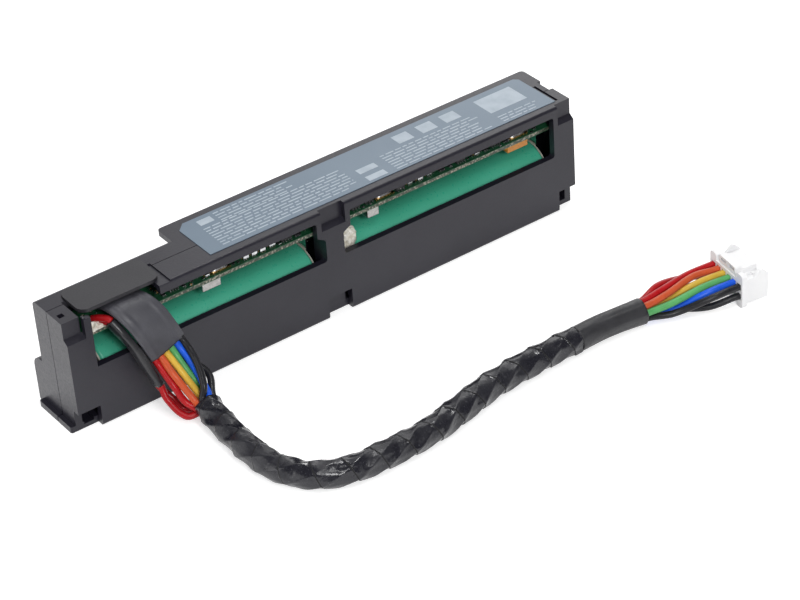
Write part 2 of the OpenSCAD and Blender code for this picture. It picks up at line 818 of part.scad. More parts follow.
module chambers() {
  for (way = [0:plug_ways - 1], z = row_z) {
    y = (way - (plug_ways - 1) / 2) * plug_pitch;
    block(-cut, y - chamber / 2, z - chamber / 2, chamber_l, y + chamber / 2, z + chamber / 2);
    block(chamber_l + 1, y - 0.8, z - 0.8, plug_l + cut, y + 0.8, z + 0.8);
  }
}

// The raised latch: a bar with two slots in its rear face and a lower plate ahead of it
module plug_latch() {
  block(0.5, -latch_w / 2, body_z[1] - 0.4, plug_l - 1.6, latch_w / 2, plug_h - 0.4);
  rotate([90, 0, 90]) translate([0, 0, 0.3]) linear_extrude(2)
    round_rect(-latch_w / 2, body_z[1] - 0.4, latch_w / 2, plug_h + 0.6, 0.6);
}

// A pointed wall on the body's side, over the mating end
module plug_fin() {
  translate([0, plug_w / 2 - 0.4, 0]) rotate([90, 0, 0]) linear_extrude(fin_t) polygon([
    [plug_l - 4.6, body_z[1] - 0.2], [plug_l, body_z[1] - 0.2], [plug_l, body_z[1] + 0.3],
    [plug_l - 1.9, plug_h - 0.1], [plug_l - 2.5, plug_h - 0.1]
  ]);
}

module plug_housing() {
  color("#eeeef0") in_plug() difference() {
    union() {
      block(0, -plug_w / 2 + 0.4, body_z[0], plug_l, plug_w / 2 - 0.4, body_z[1]);
      for (s = [-1, 1]) scale([1, s, 1]) {
        translate([0, plug_w / 2 - ear_w + 0.2, 0]) rotate([90, 0, 90])
          linear_extrude(ear_t) round_rect(0, 0, ear_w, plug_h, 1);
        plug_fin();
      }
      plug_latch();
    }
    chambers();
    for (y = [-latch_w / 4, latch_w / 4]) block(-cut, y - 1.3, plug_h - 0.8, 1.7, y + 1.3, plug_h);
    block(3, -5.6, body_z[1] - 0.6, 5, -4.6, body_z[1] + cut);
    block(3, 4.6, body_z[1] - 0.6, 5, 5.6, body_z[1] + cut);
  }
}

// The ways that hold a wire
used_ways = [for (way = [0:5]) [way, 1], [0, 0], [1, 0], [5, 0]];

// The crimped contacts, which bear on the floors of their chambers
module plug_contacts() {
  color("#c8a24a") in_plug() for (p = used_ways) {
    y = -(p[0] - (plug_ways - 1) / 2) * plug_pitch;
    block(chamber_l + 1, y - 0.6, row_z[p[1]] - 0.8, plug_l - 1, y + 0.6, row_z[p[1]] + 0.4);
  }
}

front_shell();
rear_shell();
cable_cover();
rating_label();
cell_left();
cell_right();
insulator_left_outer();
insulator_left_inner();
insulator_right_inner();
insulator_right_outer();
tab_left();
tab_right();
centre_link();
circuit_board();
board_chips();
board_capacitors();
board_resistors();
oval_cans();
cutoff_left();
cutoff_right();
amber_capacitor();
wire_solder();
silicone_bead_left();
silicone_bead_middle();
flat_sleeve();
slim_sleeve();
wire_red_1();
wire_red_2();
wire_red_3();
wire_orange();
wire_yellow();
wire_green();
wire_blue();
wire_black_1();
wire_black_2();
tape_wrap();
shrink_tube();
plug_housing();
plug_contacts();
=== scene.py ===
import math
import random

import bmesh
import bpy
from mathutils import Matrix, Vector, noise
from mathutils.geometry import interpolate_bezier


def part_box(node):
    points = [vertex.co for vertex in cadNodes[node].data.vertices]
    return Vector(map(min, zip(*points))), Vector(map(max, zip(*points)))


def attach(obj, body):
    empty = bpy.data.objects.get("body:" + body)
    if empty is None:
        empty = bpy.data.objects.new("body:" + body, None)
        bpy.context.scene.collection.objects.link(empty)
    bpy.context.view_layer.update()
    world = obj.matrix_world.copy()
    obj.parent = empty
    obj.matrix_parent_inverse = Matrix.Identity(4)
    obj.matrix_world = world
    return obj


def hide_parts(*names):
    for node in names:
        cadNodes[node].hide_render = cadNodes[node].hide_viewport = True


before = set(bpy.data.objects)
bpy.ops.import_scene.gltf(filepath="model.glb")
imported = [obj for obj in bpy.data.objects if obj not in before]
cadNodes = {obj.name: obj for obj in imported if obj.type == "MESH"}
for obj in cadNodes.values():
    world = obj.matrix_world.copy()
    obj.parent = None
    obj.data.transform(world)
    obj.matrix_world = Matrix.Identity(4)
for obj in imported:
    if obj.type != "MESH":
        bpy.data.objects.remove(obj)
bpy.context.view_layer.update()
scene = bpy.context.scene
scene.view_settings.view_transform = "Standard"
millimetre = 0.001
footReach = 0.0015  # the foot stands this far out past the case's corner
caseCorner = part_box("front_shell")[0] + Vector((footReach, 0, 0))
print("frame loaded:", len(cadNodes), "nodes")


# The camera looks down on the front and the cable end
cameraView = {
    "place": (-0.31784, -0.51038, 0.41106),
    "right": (0.8020, -0.5940, -0.0619),
    "up": (0.3793, 0.4266, 0.8210),
    "ahead": (0.4613, 0.6820, -0.5675),
    "lens": 121.5, "sensor": 36, "nearest": 0.01,
}


def addCamera():
    camera = bpy.data.objects.new("camera", bpy.data.cameras.new("camera"))
    back = [-c for c in cameraView["ahead"]]
    turn = Matrix((cameraView["right"], cameraView["up"], back)).transposed()
    camera.matrix_world = Matrix.Translation(cameraView["place"]) @ turn.to_4x4()
    camera.data.lens = cameraView["lens"]
    camera.data.sensor_width = cameraView["sensor"]
    camera.data.clip_start = cameraView["nearest"]
    scene.collection.objects.link(camera)
    scene.camera = camera


addCamera()
print("camera placed")


# Routes of the harness, in metres from the corner of the case
routes = {
    "sleeve": [
        (0.0182, 0.0126, 0.0278), (0.0183, 0.0104, 0.0283), (0.0184, 0.007, 0.03),
        (0.0188, 0.0036, 0.031), (0.0198, 0.0004, 0.0303), (0.0214, -0.0022, 0.0278),
        (0.0232, -0.0037, 0.0236), (0.0252, -0.0045, 0.018),
    ],
    "slim": [
        (0.0136, 0.0018, 0.028), (0.0149, -0.0006, 0.0252), (0.0169, -0.0026, 0.0206),
        (0.0188, -0.0044, 0.015), (0.0206, -0.0059, 0.0096),
    ],
    "tape": [
        (0.0279, -0.0165, 0.0052), (0.0276, -0.0205, 0.0042), (0.0273, -0.026, 0.0038),
        (0.027, -0.034, 0.0037), (0.027, -0.042, 0.0037), (0.0286, -0.0495, 0.0037),
        (0.033, -0.0558, 0.0037), (0.0395, -0.0594, 0.0037), (0.047, -0.0608, 0.0037),
        (0.056, -0.0612, 0.0037), (0.065, -0.0606, 0.0037), (0.075, -0.0586, 0.0037),
        (0.085, -0.0564, 0.0037), (0.095, -0.055, 0.0037), (0.106, -0.0545, 0.0037),
        (0.117, -0.0545, 0.0037),
    ],
    "shrink": [
        (0.117, -0.0545, 0.0037), (0.124, -0.0545, 0.0037), (0.131, -0.0551, 0.0037),
        (0.138, -0.056, 0.0037),
    ],
}
harness = {
    "wireWidth": 0.0017, "tapeWidth": 0.0074, "shrinkWidth": 0.007,
    "sleeveWidth": 0.0112, "sleeveThick": 0.0022, "sleeveWall": 0.0006, "sleeveWays": 6,
    "slimWidth": 0.004, "slimThick": 0.0022, "slimWall": 0.0004,
    "slotRadius": 0.0024, "slotTurn": 30, "ringSlots": 8,  # wires stand on a ring, the last in its middle
}
plugPlace = {
    "at": (0.163, -0.0612, 0), "turn": -10, "pitch": 0.0025, "ways": 6, "rowHeights": (0.0034, 0.0063),
    "before": 0.001, "chamber": 0.0026,
}
bezierPoints = 17  # on each stretch of a route, before it is evened out


def unit(v):
    return Vector(v).normalized()


def sideOf(direction, ref):
    return unit(Vector(ref) - direction * direction.dot(Vector(ref)))


def startDir(route):
    return unit(Vector(route[1]) - Vector(route[0]))


def endDir(route):
    return unit(Vector(route[-1]) - Vector(route[-2]))


def offsetAt(point, direction, ref, across, upward):
    side = sideOf(direction, ref)
    return Vector(point) + across * side + upward * direction.cross(side)


def slotOffset(slot):
    angle = math.radians(harness["slotTurn"] + 360 / harness["ringSlots"] * slot)
    radius = 0 if slot == harness["ringSlots"] else harness["slotRadius"]
    return radius * math.cos(angle), radius * math.sin(angle)


def intoTape(slot, back=0.0):
    route = routes["tape"]
    return offsetAt(route[0], startDir(route), (1, 0, 0), *slotOffset(slot)) - back * startDir(route)


def fromShrink(slot):
    route = routes["shrink"]
    return offsetAt(route[-1], endDir(route), (0, 0, 1), *slotOffset(slot))


def fromSleeve(way):
    route = routes["sleeve"]
    gaps = harness["sleeveWays"] - 1
    pitch = (harness["sleeveWidth"] - harness["wireWidth"] - harness["sleeveWall"]) / gaps
    return offsetAt(route[-1], endDir(route), (1, 0, 0), (way - gaps / 2) * pitch, 0)


def slimWay(point, direction, way):
    pitch = harness["slimWidth"] - harness["wireWidth"] - harness["slimWall"]
    return offsetAt(point, direction, (1, 0, 0), 0, (way - 0.5) * pitch)


plugAngle = math.radians(plugPlace["turn"])
plugAhead = Vector((math.cos(plugAngle), math.sin(plugAngle), 0))
plugAcross = Vector((math.sin(plugAngle), -math.cos(plugAngle), 0))


def intoPlug(way, row):
    middle = (plugPlace["ways"] - 1) / 2
    base = Vector(plugPlace["at"]) + (way - middle) * plugPlace["pitch"] * plugAcross
    base.z += plugPlace["rowHeights"][row]
    return [base - plugPlace["before"] * plugAhead, base + plugPlace["chamber"] * plugAhead]


# A smooth line through the points, with evenly spaced places on it, and its length
def smoothLine(points, firstDir, lastDir, spacing):
    points = [Vector(p) for p in points]
    inner = [unit(points[i + 1] - points[i - 1]) for i in range(1, len(points) - 1)]
    directions = [firstDir, *inner, lastDir]
    dense = []
    for i in range(len(points) - 1):
        reach = (points[i + 1] - points[i]).length / 3
        stretch = interpolate_bezier(
            points[i], points[i] + directions[i] * reach,
            points[i + 1] - directions[i + 1] * reach, points[i + 1], bezierPoints,
        )
        dense += stretch if i == len(points) - 2 else stretch[:-1]
    lengths = [0.0]
    for a, b in zip(dense, dense[1:]):
        lengths.append(lengths[-1] + (b - a).length)
    count = max(4, round(lengths[-1] / spacing))
    line, k = [], 0
    for i in range(count + 1):
        target = lengths[-1] * i / count
        while k < len(dense) - 2 and lengths[k + 1] < target:
            k += 1
        share = (target - lengths[k]) / max(1e-9, lengths[k + 1] - lengths[k])
        line.append(caseCorner + dense[k].lerp(dense[k + 1], min(1, share)))
    return line, lengths[-1]


def finishMesh(name, bm):
    mesh = bpy.data.meshes.new(name)
    bm.to_mesh(mesh)
    bm.free()
    piece = bpy.data.objects.new(name, mesh)
    scene.collection.objects.link(piece)
    return piece


def settle(piece, slotName, material, *replaced):
    piece.data.materials.clear()
    piece.data.materials.append(material)
    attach(piece, "root")
    if replaced:
        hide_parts(*replaced)
    return piece


tubeRules = {"weld": 1e-7, "mouthDepth": 1.6}  # a mouth is sunk this many times its rim's width


# A closed tube along a line: shape(along, turn) gives the offsets across and upward
def sweepTube(name, line, around, shape, ref=(0, 0, 1), fixedRef=False, mouth=0.0):
    bm = bmesh.new()
    bm.loops.layers.uv.new("UVMap")
    rows = len(line) - 1
    bmesh.ops.create_grid(bm, x_segments=around, y_segments=rows, size=0.5, calc_uvs=True)
    frames, side = [], sideOf(unit(line[1] - line[0]), ref)
    for i, point in enumerate(line):
        direction = unit(line[min(i + 1, rows)] - line[max(i - 1, 0)])
        side = sideOf(direction, ref if fixedRef else side)
        frames.append((point, side, direction.cross(side)))
    for v in bm.verts:
        turn, along = v.co.x + 0.5, v.co.y + 0.5
        point, across, upward = frames[round(along * rows)]
        a, b = shape(along, turn)
        v.co = point + a * across + b * upward
    bmesh.ops.remove_doubles(bm, verts=bm.verts, dist=tubeRules["weld"])
    rims = [e for e in bm.edges if e.is_boundary]
    caps = bmesh.ops.holes_fill(bm, edges=rims, sides=0)["faces"]
    bmesh.ops.recalc_face_normals(bm, faces=bm.faces)
    for cap in caps if mouth else []:
        bmesh.ops.inset_region(bm, faces=[cap], thickness=mouth, depth=0, use_even_offset=False)
        inward = -cap.normal * mouth * tubeRules["mouthDepth"]
        bmesh.ops.translate(bm, verts=cap.verts, vec=inward)
    for face in bm.faces:
        face.smooth = len(face.verts) < 5  # all but the caps
    return finishMesh(name, bm)


def roundShape(radius):
    return lambda along, turn: (radius * math.cos(math.tau * turn), radius * math.sin(math.tau * turn))


def wobble(height, *place):
    return height * noise.noise(Vector(place))


# Sets a node's sockets: a socket is linked and a plain value is written
def setInputs(tree, node, inputs):
    for key, value in inputs.items():
        if isinstance(value, bpy.types.NodeSocket):
            tree.links.new(value, node.inputs[key])
        else:
            node.inputs[key].default_value = value
    return node


def addNode(tree, kind, inputs, **settings):
    node = tree.nodes.new(kind)
    for key, value in settings.items():
        setattr(node, key, value)
    return setInputs(tree, node, inputs)


def calc(tree, operation, *values):
    return addNode(tree, "ShaderNodeMath", dict(enumerate(values)), operation=operation).outputs["Value"]


def spread(tree, value, fromLow, fromHigh, toLow=0, toHigh=1):
    ends = {"From Min": fromLow, "From Max": fromHigh, "To Min": toLow, "To Max": toHigh}
    return addNode(tree, "ShaderNodeMapRange", {"Value": value, **ends}).outputs["Result"]


def mixValues(tree, share, first, second):
    return addNode(tree, "ShaderNodeMix", {0: share, 2: first, 3: second}).outputs[0]


def mixColors(tree, share, first, second):
    inputs = {0: share, 6: first, 7: second}
    return addNode(tree, "ShaderNodeMix", inputs, data_type="RGBA").outputs[2]


def noiseValue(tree, vector, scale, detail):
    inputs = {"Vector": vector, "Scale": scale, "Detail": detail}
    return addNode(tree, "ShaderNodeTexNoise", inputs).outputs["Fac"]


def bumpNormal(tree, height, strength, distance):
    inputs = {"Height": height, "Strength": strength, "Distance": distance}
    return addNode(tree, "ShaderNodeBump", inputs).outputs["Normal"]


def parts(tree, vector):
    return addNode(tree, "ShaderNodeSeparateXYZ", {"Vector": vector}).outputs


def ramp(tree, value, stops):
    node = addNode(tree, "ShaderNodeValToRGB", {"Fac": value})
    elements = node.color_ramp.elements
    while len(elements) < len(stops):
        elements.new(0.5)
    for element, (position, tone) in zip(elements, stops):
        element.position = position
        element.color = (*(tone if hasattr(tone, "__len__") else (tone,) * 3), 1)
    return node.outputs["Color"]


def newGroup(name, inputs, outputs):
    group = bpy.data.node_groups.new(name, "ShaderNodeTree")
    for label, kind, value in inputs:
        socket = group.interface.new_socket(label, in_out="INPUT", socket_type=kind)
        if value is not None:
            socket.default_value = value
    for label, kind in outputs:
        group.interface.new_socket(label, in_out="OUTPUT", socket_type=kind)
    return group, group.nodes.new("NodeGroupInput").outputs, group.nodes.new("NodeGroupOutput")


# Mottled colour and gloss with a fine moulded grain
def makeMottleGroup():
    group, given, result = newGroup(
        "mottledSurface",
        [
            ("Vector", "NodeSocketVector", None), ("Color", "NodeSocketColor", (0.5, 0.5, 0.5, 1)),
            ("Second Color", "NodeSocketColor", (0.4, 0.4, 0.4, 1)),
            ("Mottle Scale", "NodeSocketFloat", 60), ("Grain Scale", "NodeSocketFloat", 2000),
            ("Rough Low", "NodeSocketFloat", 0.4), ("Rough High", "NodeSocketFloat", 0.5),
        ],
        [("Color", "NodeSocketColor"), ("Roughness", "NodeSocketFloat"), ("Height", "NodeSocketFloat")],
    )
    broad = noiseValue(group, given["Vector"], given["Mottle Scale"], 5)
    grain = noiseValue(group, given["Vector"], given["Grain Scale"], 2)
    color = mixColors(group, spread(group, broad, 0.35, 0.65), given["Color"], given["Second Color"])
    rough = spread(group, grain, 0.3, 0.7, given["Rough Low"], given["Rough High"])
    setInputs(group, result, {"Color": color, "Roughness": rough, "Height": grain})
    return group


# Fine creases, as in thin film or tape
def makeCreaseGroup():
    group, given, result = newGroup(
        "fineCreases",
        [
            ("Vector", "NodeSocketVector", None), ("Scale", "NodeSocketFloat", 300),
            ("Stretch", "NodeSocketVector", (1, 1, 1)),
        ],
        [("Height", "NodeSocketFloat")],
    )
    mapping = addNode(group, "ShaderNodeMapping", {"Vector": given["Vector"], "Scale": given["Stretch"]})
    place = mapping.outputs["Vector"]
    folds = addNode(group, "ShaderNodeTexNoise", {
        "Vector": place, "Scale": given["Scale"], "Detail": 4, "Roughness": 0.55, "Distortion": 0.6,
    }, noise_type="RIDGED_MULTIFRACTAL")
    soft = noiseValue(group, place, given["Scale"], 2)
    setInputs(group, result, {"Height": calc(group, "ADD", folds.outputs["Fac"], soft)})
    return group


mottledSurface = makeMottleGroup()
fineCreases = makeCreaseGroup()


def placeGroup(tree, group, inputs):
    return addNode(tree, "ShaderNodeGroup", inputs, node_tree=group).outputs


def newMaterial(name):
    material = bpy.data.materials.new(name)
    material.use_nodes = True
    tree = material.node_tree
    coordinates = tree.nodes.new("ShaderNodeTexCoord").outputs
    return material, tree, tree.nodes["Principled BSDF"], coordinates


def shade(color):
    return (*color, 1)


# The mottled surface with a look's own values
def placeMottle(tree, vector, look):
    return placeGroup(tree, mottledSurface, {
        "Vector": vector, "Color": shade(look["color"]), "Second Color": shade(look["second"]),
        "Mottle Scale": look["mottle"], "Grain Scale": look["grain"],
        "Rough Low": look["rough"][0], "Rough High": look["rough"][1],
    })


grainStrength = 0.5


# A plain finish: mottle, fine grain and the shader's own fixed values
def mottledMaterial(name, look):
    material, tree, shader, coordinates = newMaterial(name)
    surface = placeMottle(tree, coordinates["Object"], look)
    normal = bumpNormal(tree, surface["Height"], grainStrength, look["depth"])
    setInputs(tree, shader, {
        "Base Color": surface["Color"], "Roughness": surface["Roughness"], "Normal": normal,
        **look.get("fixed", {}),
    })
    return material


# Mottle and grain are noise scales, and depth is the grain's height in metres
finishes = {
    "casePlastic": {
        "color": (0.0115, 0.0105, 0.0180), "second": (0.017, 0.016, 0.0245), "rough": (0.28, 0.42),
        "mottle": 45, "grain": 1900, "depth": 0.00004, "fixed": {"Specular IOR Level": 0.4},
    },
    "coverPlastic": {
        "color": (0.017, 0.0165, 0.021), "second": (0.022, 0.0215, 0.026), "rough": (0.38, 0.5),
        "mottle": 80, "grain": 2400, "depth": 0.00003, "fixed": {"Specular IOR Level": 0.4},
    },
    "edgeShine": {  # painted highlight: a lighter colour on the rounded edges of the case and the cover
        "color": (0.060, 0.058, 0.070), "second": (0.045, 0.043, 0.054), "rough": (0.24, 0.36),
        "mottle": 160, "grain": 1900, "depth": 0.00001,
    },
    "labelFilm": {
        "color": (0.115, 0.165, 0.220), "second": (0.130, 0.182, 0.238), "rough": (0.3, 0.42),
        "mottle": 40, "grain": 2600, "depth": 0.00002,
    },
    "labelInk": {
        "color": (0.40, 0.46, 0.52), "second": (0.33, 0.39, 0.45), "rough": (0.4, 0.55),
        "mottle": 300, "grain": 4000, "depth": 0.00001,
    },
    "ringCard": {
        "color": (0.42, 0.42, 0.37), "second": (0.36, 0.36, 0.31), "rough": (0.75, 0.9),
        "mottle": 500, "grain": 3500, "depth": 0.00003,
    },
    "nickelStrip": {
        "color": (0.70, 0.69, 0.65), "second": (0.64, 0.63, 0.60), "rough": (0.14, 0.24),
        "mottle": 300, "grain": 1500, "depth": 0.00002, "fixed": {"Metallic": 1.0},
    },
    "chipResin": {
        "color": (0.018, 0.018, 0.020), "second": (0.028, 0.028, 0.030), "rough": (0.45, 0.65),
        "mottle": 400, "grain": 6000, "depth": 0.00001,
    },
    "capacitorBody": {
        "color": (0.50, 0.31, 0.13), "second": (0.42, 0.25, 0.10), "rough": (0.35, 0.5),
        "mottle": 700, "grain": 5000, "depth": 0.00001,
    },
    "resistorBody": {
        "color": (0.03, 0.03, 0.035), "second": (0.05, 0.05, 0.055), "rough": (0.3, 0.45),
        "mottle": 700, "grain": 5000, "depth": 0.00001,
    },
    "platedMetal": {
        "color": (0.80, 0.80, 0.80), "second": (0.70, 0.70, 0.71), "rough": (0.30, 0.46),
        "mottle": 500, "grain": 3000, "depth": 0.00001, "fixed": {"Metallic": 1.0},
    },
    "boxMetal": {
        "color": (0.42, 0.41, 0.40), "second": (0.34, 0.33, 0.32), "rough": (0.25, 0.4),
        "mottle": 600, "grain": 2500, "depth": 0.00002, "fixed": {"Metallic": 1.0},
    },
    "solder": {
        "color": (0.74, 0.74, 0.75), "second": (0.55, 0.55, 0.57), "rough": (0.16, 0.36),
        "mottle": 900, "grain": 2500, "depth": 0.00005, "fixed": {"Metallic": 1.0},
    },
    "contactMetal": {
        "color": (0.80, 0.52, 0.20), "second": (0.66, 0.42, 0.16), "rough": (0.2, 0.35),
        "mottle": 500, "grain": 2500, "depth": 0.00001, "fixed": {"Metallic": 1.0},
    },
    "amberResin": {
        "color": (0.62, 0.25, 0.035), "second": (0.50, 0.19, 0.025), "rough": (0.25, 0.4),
        "mottle": 300, "grain": 2500, "depth": 0.00002,
    },
    "silicone": {
        "color": (0.84, 0.82, 0.76), "second": (0.58, 0.54, 0.44), "rough": (0.1, 0.28),
        "mottle": 900, "grain": 700, "depth": 0.0005,
    },
    "plugNylon": {
        "color": (0.87, 0.87, 0.875), "second": (0.83, 0.83, 0.84), "rough": (0.35, 0.5),
        "mottle": 120, "grain": 2200, "depth": 0.00002,
    },
    # painted highlight: a lighter nylon colour on the rounded edges of the plug
    "paintedNylonEdgeHighlight": {
        "color": (0.90, 0.90, 0.90), "second": (0.88, 0.88, 0.88), "rough": (0.3, 0.4),
        "mottle": 160, "grain": 1900, "depth": 0.00001,
    },
    "slimBlack": {
        "color": (0.012, 0.012, 0.015), "second": (0.018, 0.018, 0.021), "rough": (0.26, 0.38),
        "mottle": 220, "grain": 1300, "depth": 0.00006,
    },
    "shrinkBlack": {
        "color": (0.016, 0.016, 0.019), "second": (0.024, 0.024, 0.028), "rough": (0.38, 0.55),
        "mottle": 220, "grain": 1300, "depth": 0.00014,
    },
}
# wire_red_3 is a darker red than the other reds: painted shade
wireColors = {
    "wire_red_1": (0.43, 0.008, 0.012), "wire_red_2": (0.40, 0.008, 0.012),
    "wire_red_3": (0.34, 0.006, 0.010), "wire_orange": (0.56, 0.088, 0.030),
    "wire_yellow": (0.64, 0.41, 0.052), "wire_green": (0.10, 0.38, 0.125),
    "wire_blue": (0.012, 0.105, 0.70), "wire_black_1": (0.016, 0.016, 0.019),
    "wire_black_2": (0.016, 0.016, 0.019),
}
wireSkin = {
    "secondShare": 0.86, "rough": (0.26, 0.38), "mottle": 260, "grain": 900, "depth": 0.00003,
    "fixed": {"Specular IOR Level": 0.25},
}
wireSlots = {n: "wire_" + n.split("_")[1] for n in wireColors}

looks = {name: mottledMaterial(name, look) for name, look in finishes.items()}
for wireName, wireColor in wireColors.items():
    second = tuple(c * wireSkin["secondShare"] for c in wireColor)
    looks[wireName] = mottledMaterial(wireName + "Skin", {**wireSkin, "color": wireColor, "second": second})


cellWrapLook = {
    "color": (0.060, 0.420, 0.270), "second": (0.072, 0.470, 0.310), "rough": (0.26, 0.36),
    "mottle": 55, "grain": 1200, "creaseScale": 60, "creaseStretch": (0.2, 1.0, 1.0),
    "creaseStrength": 0.12, "creaseDepth": 0.00004, "coat": 0.3, "coatRough": 0.15,
}


def cellWrapMaterial(look):
    material, tree, shader, coordinates = newMaterial("cellWrap")
    creases = placeGroup(tree, fineCreases, {
        "Vector": coordinates["Object"], "Scale": look["creaseScale"], "Stretch": look["creaseStretch"],
    })
    surface = placeMottle(tree, coordinates["Object"], look)
    normal = bumpNormal(tree, creases["Height"], look["creaseStrength"], look["creaseDepth"])
    setInputs(tree, shader, {
        "Base Color": surface["Color"], "Roughness": surface["Roughness"], "Normal": normal,
        "Coat Weight": look["coat"], "Coat Roughness": look["coatRough"],
    })
    return material


boardLook = {
    "lanes": {
        "Scale": 260, "Mortar Size": 0.035, "Mortar Smooth": 0.1, "Brick Width": 1.4, "Row Height": 0.32,
        "Color1": (1, 1, 1, 1), "Color2": (0.75, 0.75, 0.75, 1), "Mortar": (0, 0, 0, 1),
    },
    "mask": [(0.0, (0.010, 0.070, 0.030)), (0.75, (0.016, 0.098, 0.042)), (1.0, (0.020, 0.120, 0.052))],
    "fibreScale": 1500,
    "fibre": [(0.15, (0.42, 0.40, 0.32)), (0.4, (0.15, 0.15, 0.11)), (0.6, (0.03, 0.045, 0.028))],
    "weaveScale": 1500, "rough": (0.25, 0.5), "skin": 0.0001, "laneStrength": 0.4, "laneDepth": 0.00003,
}


# Green mask with copper lanes under it, and cut glass fibre where the edge lies open
def boardMaterial(look):
    material, tree, shader, coordinates = newMaterial("boardLaminate")
    low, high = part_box("circuit_board")
    vector = coordinates["Object"]
    lanes = addNode(tree, "ShaderNodeTexBrick", {"Vector": vector, **look["lanes"]}).outputs
    green = ramp(tree, lanes["Color"], look["mask"])
    weave = noiseValue(tree, vector, look["weaveScale"], 3)
    beads = addNode(tree, "ShaderNodeTexVoronoi", {"Vector": vector, "Scale": look["fibreScale"]})
    core = ramp(tree, beads.outputs["Distance"], look["fibre"])
    normal = parts(tree, tree.nodes.new("ShaderNodeNewGeometry").outputs["True Normal"])
    onEdge = calc(tree, "LESS_THAN", calc(tree, "ABSOLUTE", normal["Z"]), 0.5)
    height = parts(tree, vector)["Z"]
    away = calc(tree, "ABSOLUTE", calc(tree, "SUBTRACT", height, (low.z + high.z) / 2))
    inCore = calc(tree, "LESS_THAN", away, (high.z - low.z) / 2 - look["skin"])
    setInputs(tree, shader, {
        "Base Color": mixColors(tree, calc(tree, "MULTIPLY", onEdge, inCore), green, core),
        "Roughness": spread(tree, weave, 0, 1, *look["rough"]),
        "Normal": bumpNormal(tree, lanes["Fac"], look["laneStrength"], look["laneDepth"]),
    })
    return material


sleeveLook = {
    "color": (0.046, 0.046, 0.056), "second": (0.060, 0.060, 0.072), "rough": (0.42, 0.58),
    "mottle": 150, "grain": 1700, "creaseScale": 240, "creaseStretch": (1, 1, 0.3),
    "strength": 0.4, "depth": 0.00007,
}


def sleeveMaterial(look):
    material, tree, shader, coordinates = newMaterial("sleeveBlack")
    surface = placeMottle(tree, coordinates["Object"], look)
    creases = placeGroup(tree, fineCreases, {
        "Vector": coordinates["Object"], "Scale": look["creaseScale"], "Stretch": look["creaseStretch"],
    })
    relief = calc(tree, "ADD", creases["Height"], surface["Height"])
    setInputs(tree, shader, {
        "Base Color": surface["Color"], "Roughness": surface["Roughness"],
        "Normal": bumpNormal(tree, relief, look["strength"], look["depth"]),
    })
    return material


tapeLook = {
    "lapEdge": [(0.0, 1.0), (0.022, 0.9), (0.05, 0.0), (1.0, 0.0)], "edgeRough": 0.9,
    "edgeColor": (0.004, 0.004, 0.004), "creaseScale": 420, "speckScale": 2200, "patchScale": 240,
    "tone": [(0.35, (0.008, 0.008, 0.0125)), (0.64, (0.014, 0.014, 0.020)), (0.74, (0.06, 0.06, 0.068))],
    "rough": (0.20, 0.36), "strength": 0.6, "depth": 0.00014,
}


# The tape's laps are drawn in its UV map: x runs round it and y along it
def tapeMaterial(look, laps):
    material, tree, shader, coordinates = newMaterial("tapeBlack")
    place = parts(tree, coordinates["UV"])
    phase = calc(tree, "SUBTRACT", calc(tree, "MULTIPLY", place["Y"], laps), place["X"])
    lapEdge = ramp(tree, calc(tree, "FRACT", phase), look["lapEdge"])
    vector = coordinates["Object"]
    creases = placeGroup(tree, fineCreases, {
        "Vector": vector, "Scale": look["creaseScale"], "Stretch": (1, 1, 1),
    })
    specks = noiseValue(tree, vector, look["speckScale"], 3)
    matt = spread(tree, noiseValue(tree, vector, look["patchScale"], 2), 0.42, 0.58)
    color = mixColors(tree, lapEdge, ramp(tree, specks, look["tone"]), shade(look["edgeColor"]))
    gloss = spread(tree, matt, 0, 1, *look["rough"])
    relief = calc(tree, "ADD", calc(tree, "MULTIPLY", specks, matt), creases["Height"])
    setInputs(tree, shader, {
        "Base Color": color, "Roughness": mixValues(tree, lapEdge, gloss, look["edgeRough"]),
        "Normal": bumpNormal(tree, relief, look["strength"], look["depth"]),
    })
    return material


looks["cellWrap"] = cellWrapMaterial(cellWrapLook)
looks["boardLaminate"] = boardMaterial(boardLook)
looks["sleeveBlack"] = sleeveMaterial(sleeveLook)
print("materials made:", len(looks) + 1)


tapeWrap = {
    "step": 0.00032, "around": 96, "mouth": 0.0005,
    "pitch": 0.0081, "lapHeight": 0.0002, "lapSlope": 1.25,
    "flats": 5, "flatShare": 0.48, "twistPitch": 0.0078, "flatChange": 18,  # pulled flat between the wires
    "swell": 0.00022, "swellAlong": 14, "swellRound": 0.9, "fineFold": 0.00014, "broadFold": 0.00018,
    "extra": 0.00006, "floorGap": 0.00002,
}


def addTape(look):
    route = routes["tape"]
    line, length = smoothLine(route, startDir(route), endDir(route), look["step"])
    laps = length / look["pitch"]
    radius = harness["tapeWidth"] / 2
    corner = math.pi / look["flats"]

    def shape(along, turn):
        phase = along * laps - turn
        saw = phase - math.floor(phase)
        angle = math.tau * turn
        strip = math.floor(phase) + turn  # distance along the tape, in laps
        lift = look["lapHeight"] * (0.5 - min(saw * look["lapSlope"], 1.0))
        wide = look["swellRound"]
        ring = math.cos(angle) * wide, math.sin(angle) * wide
        swell = wobble(look["swell"], along * look["swellAlong"], *ring)
        folds = wobble(look["fineFold"], strip * 15, saw * 1.1, 3.1)
        folds += wobble(look["broadFold"], strip * 3.6, saw * 0.8, 9.2)
        flat = (look["flats"] * turn + along * length / look["twistPitch"]) % 1 - 0.5
        share = look["flatShare"] * (1 + wobble(1, along * look["flatChange"], 0, 0))
        flatness = share * (1 - math.cos(corner) / math.cos(2 * corner * flat))
        r = radius * (1 - flatness) + look["extra"] + lift + swell + folds
        return r * math.cos(angle), r * math.sin(angle)

    tape = sweepTube("tapeWrap", line, look["around"], shape, mouth=look["mouth"])
    for v in tape.data.vertices:
        v.co.z = max(v.co.z, look["floorGap"])  # it rests on the floor
    return settle(tape, "tape_black", tapeMaterial(tapeLook, laps), "tape_wrap"), line, length


